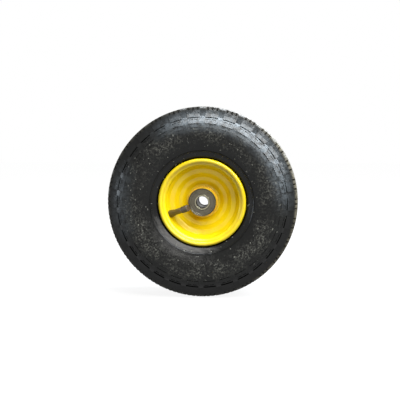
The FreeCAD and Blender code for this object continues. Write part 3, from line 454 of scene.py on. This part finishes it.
class WHEEL_OT_bearings(bpy.types.Operator):
    """Dress the ball bearings and the spacer tube"""

    bl_idname = "wheel.bearings"
    bl_label = "Bearing Steel"

    def execute(self, context):
        look = context.scene.wheel_finish
        outer = turned_steel(look, "ring_steel", look.ring_steel, roughness=0.28, stain=0.5)
        inner = turned_steel(look, "inner_ring_steel", look.inner_ring_steel, roughness=0.2, stain=0.4)
        shield = turned_steel(look, "shield_steel", look.shield_steel, roughness=0.42, stain=0.6)
        ball = plain_steel("ball_steel", look.ball_steel, roughness=0.08)
        cage = plain_steel("cage_steel", look.cage_steel, roughness=0.3)
        dress(outer, *both("outer_ring"), "bearing_spacer")
        dress(inner, *both("inner_ring"))
        dress(shield, *both("shield_outer", "shield_inner"))
        dress(ball, *both("balls"))
        dress(cage, *both("cage_outer", "cage_inner", "cage_rivets"))
        return {"FINISHED"}


class WHEEL_OT_valve(bpy.types.Operator):
    """Dress the valve"""

    bl_idname = "wheel.valve"
    bl_label = "Valve Finishes"

    def execute(self, context):
        look = context.scene.wheel_finish
        stem = moulded(look, "stem_rubber", look.stem, roughness=0.3, grain=0.0006, rings=0.0024)
        cap = moulded(look, "cap_plastic", look.cap, roughness=0.22, grain=0.0004, rings=0.0016)
        seal = moulded(look, "seal_rubber", look.seal, roughness=0.5, grain=0.0004)
        pin = plain_steel("pin_steel", look.pin_steel, roughness=0.3)
        dress(stem, "valve_stem")
        dress(cap, "valve_cap")
        dress(seal, "valve_core_seal")
        dress(valve_brass(look), "valve_insert", "valve_core_body")
        dress(pin, "valve_core_pin", "valve_core_spring")
        return {"FINISHED"}


class WHEEL_OT_welds(bpy.types.Operator):
    """Lay a rippled weld bead between each rim half's collar and the hub"""

    bl_idname = "wheel.welds"
    bl_label = "Hub Welds"

    rows_per_ripple = 3
    share_off_collar = 0.35
    share_off_hub = 0.55

    def execute(self, context):
        weld = context.scene.wheel_weld
        rows = self.rows_per_ripple * weld.ripples
        for side, outwards in (("front", -1), ("rear", 1)):
            bpy.ops.object.select_all(action="DESELECT")
            bpy.ops.mesh.primitive_torus_add(
                location=(0, outwards * (weld.collar_end + weld.bead * self.share_off_collar), 0),
                rotation=(math.pi / 2, 0, 0),
                major_radius=HUB_RADIUS + weld.bead * self.share_off_hub, minor_radius=weld.bead,
                major_segments=rows, minor_segments=10)
            bead = context.active_object
            bead.name = bead.data.name = f"{side}_hub_weld"
            bpy.ops.object.transform_apply(location=True, rotation=True, scale=True)
            self.swell(bead, rows, weld.ripple_height)
            bpy.ops.object.shade_smooth()
            bead.data.materials.append(bpy.data.materials["rim_paint"])
            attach(bead, "wheel")
        return {"FINISHED"}

    def swell(self, bead, rows, height):
        """Swell one row of points in each ripple, so that the bead looks laid drop by drop."""
        only(bead)
        bpy.ops.object.mode_set(mode="EDIT")
        bpy.ops.mesh.select_all(action="DESELECT")
        mesh = bmesh.from_edit_mesh(bead.data)
        for point in mesh.verts:
            angle = math.atan2(point.co.z, point.co.x) % math.tau
            point.select = round(angle / math.tau * rows) % self.rows_per_ripple == 0
        mesh.select_flush_mode()
        bmesh.update_edit_mesh(bead.data)
        bpy.ops.transform.shrink_fatten(value=height)
        bpy.ops.object.mode_set(mode="OBJECT")


# Stage

def seen(tree):
    """One for rays that come from the camera or by way of gloss or glass, else nothing."""
    path = tree.nodes.new("ShaderNodeLightPath")
    total = path.outputs["Is Camera Ray"]
    for name in ("Is Glossy Ray", "Is Transmission Ray"):
        most = tree.nodes.new("ShaderNodeMath")
        most.operation = "MAXIMUM"
        tree.links.new(total, most.inputs[0])
        tree.links.new(path.outputs[name], most.inputs[1])
        total = most.outputs[0]
    return total


def floor_finish():
    """Matt floor, nearly as white as the background where it is seen, and a little less near the wheel."""
    graph = Graph("floor_white")
    x, y, _ = graph.axes()
    near_white = graph.ramp(graph.length(x, y), low=0.1, high=0.9, start=0.9, end=0.99)
    graph.plug((1, 1, 1, 1), graph.shader.inputs["Emission Color"])
    graph.plug(graph.product(seen(graph.tree), near_white), graph.shader.inputs["Emission Strength"])
    return graph.finish(colour=(0.08, 0.08, 0.08), roughness=0.9, **{"Specular IOR Level": 0.0})


def round_wheel(bearing, tilt):
    """Direction turned away from the front of the axle by the tilt, towards a bearing round the wheel."""
    return Vector((math.sin(tilt) * math.cos(bearing), -math.cos(tilt), math.sin(tilt) * math.sin(bearing)))


def lamp(name, bearing, tilt, distance, width, height, watts, colour):
    """A flat oval lamp that faces the wheel's middle, its width running round the axle."""
    away = round_wheel(bearing, tilt)
    bpy.ops.object.select_all(action="DESELECT")
    bpy.ops.object.light_add(type="AREA", location=WHEEL_MIDDLE + away * distance)
    made = bpy.context.active_object
    made.name = made.data.name = name
    made.data.shape = "ELLIPSE"
    made.data.size = width
    made.data.size_y = height
    made.data.energy = watts
    made.data.color = colour
    round_axle = Vector((0, 1, 0)).cross(away).normalized()
    made.rotation_euler = Matrix((round_axle, away.cross(round_axle), away)).transposed().to_euler()


class WHEEL_OT_stage(bpy.types.Operator):
    """Set up the floor, lamps and camera"""

    bl_idname = "wheel.stage"
    bl_label = "Stage"

    def execute(self, context):
        stage = context.scene.wheel_stage
        self.floor()
        self.lamps(stage)
        self.world(context.scene, stage)
        self.camera(context.scene, stage)
        context.scene.view_settings.view_transform = "Standard"
        return {"FINISHED"}

    def floor(self):
        bpy.ops.object.select_all(action="DESELECT")
        bpy.ops.mesh.primitive_plane_add(size=12, location=(0, 0, TYRE_FOOT))
        floor = bpy.context.active_object
        floor.name = floor.data.name = "floor"
        floor.data.materials.append(floor_finish())

    def lamps(self, stage):
        warm = (1.0, 0.98, 0.95)
        lamp("front_lamp", bearing=stage.key_bearing, tilt=math.radians(25), distance=1.3,
             width=0.7, height=0.2, watts=stage.front_power, colour=warm)
        lamp("key_lamp", bearing=stage.key_bearing, tilt=math.radians(58), distance=1.3,
             width=2.4, height=0.45, watts=stage.key_power, colour=warm)
        lamp("sky_lamp", bearing=stage.key_bearing, tilt=math.radians(88), distance=1.2,
             width=2.4, height=0.5, watts=stage.sky_power, colour=(0.88, 0.94, 1.0))
        lamp("back_lamp", bearing=stage.key_bearing, tilt=math.radians(140), distance=1.3,
             width=1.0, height=1.0, watts=stage.back_power, colour=(0.95, 0.97, 1.0))
        lamp("side_lamp", bearing=math.radians(183), tilt=math.radians(84), distance=1.2,
             width=0.9, height=0.5, watts=stage.side_power, colour=(0.8, 0.9, 1.0))

    def world(self, scene, stage):
        world = bpy.data.worlds.new("studio")
        scene.world = world
        world.use_nodes = True
        tree = world.node_tree
        light = tree.nodes.new("ShaderNodeMix")
        light.data_type = "RGBA"
        tree.links.new(seen(tree), light.inputs["Factor"])
        fill_colour = (1.0, 0.92, 0.8)
        light.inputs["A"].default_value = colour_value(darker(fill_colour, share=stage.fill))
        light.inputs["B"].default_value = (1, 1, 1, 1)
        tree.links.new(light.outputs["Result"], tree.nodes["Background"].inputs["Color"])

    def camera(self, scene, stage):
        bpy.ops.object.camera_add()
        camera = bpy.context.active_object
        camera.name = camera.data.name = "camera"
        camera.data.lens = stage.lens
        away = Vector((math.sin(stage.azimuth) * math.cos(stage.elevation),
                       -math.cos(stage.azimuth) * math.cos(stage.elevation), math.sin(stage.elevation)))
        camera.location = WHEEL_MIDDLE + away * stage.distance
        camera.rotation_euler = (-away).to_track_quat("-Z", "Y").to_euler()
        picture_pixels = 400
        wheel_x_pixels, wheel_y_pixels = 203.5, 200.7
        camera.data.shift_x = (picture_pixels / 2 - wheel_x_pixels) / picture_pixels
        camera.data.shift_y = (wheel_y_pixels - picture_pixels / 2) / picture_pixels
        scene.camera = camera


class WHEEL_PT_panel(bpy.types.Panel):
    """Sidebar panel with the wheel's settings and steps"""

    bl_label = "Trolley Wheel"
    bl_idname = "WHEEL_PT_panel"
    bl_space_type = "VIEW_3D"
    bl_region_type = "UI"
    bl_category = "Trolley Wheel"

    def draw(self, context):
        for group in SETTINGS:
            settings = getattr(context.scene, group)
            box = self.layout.box()
            for name in settings.bl_rna.properties.keys():
                if name not in ("rna_type", "name"):
                    box.prop(settings, name)
        for step in STEPS:
            self.layout.operator(step.bl_idname)


SETTINGS = {
    "wheel_finish": WheelFinishSettings,
    "wheel_weld": WheelWeldSettings,
    "wheel_stage": WheelStageSettings,
}
STEPS = (WHEEL_OT_tyre, WHEEL_OT_rim, WHEEL_OT_bearings, WHEEL_OT_valve, WHEEL_OT_welds, WHEEL_OT_stage)


def register():
    for name, group in SETTINGS.items():
        bpy.utils.register_class(group)
        setattr(bpy.types.Scene, name, bpy.props.PointerProperty(type=group))
    for step in STEPS:
        bpy.utils.register_class(step)
    bpy.utils.register_class(WHEEL_PT_panel)


def unregister():
    bpy.utils.unregister_class(WHEEL_PT_panel)
    for step in reversed(STEPS):
        bpy.utils.unregister_class(step)
    for name, group in SETTINGS.items():
        delattr(bpy.types.Scene, name)
        bpy.utils.unregister_class(group)


def main():
    register()
    bpy.ops.wheel.tyre()
    bpy.ops.wheel.rim()
    bpy.ops.wheel.bearings()
    bpy.ops.wheel.valve()
    bpy.ops.wheel.welds()
    bpy.ops.wheel.stage()


if __name__ == "__main__":
    main()
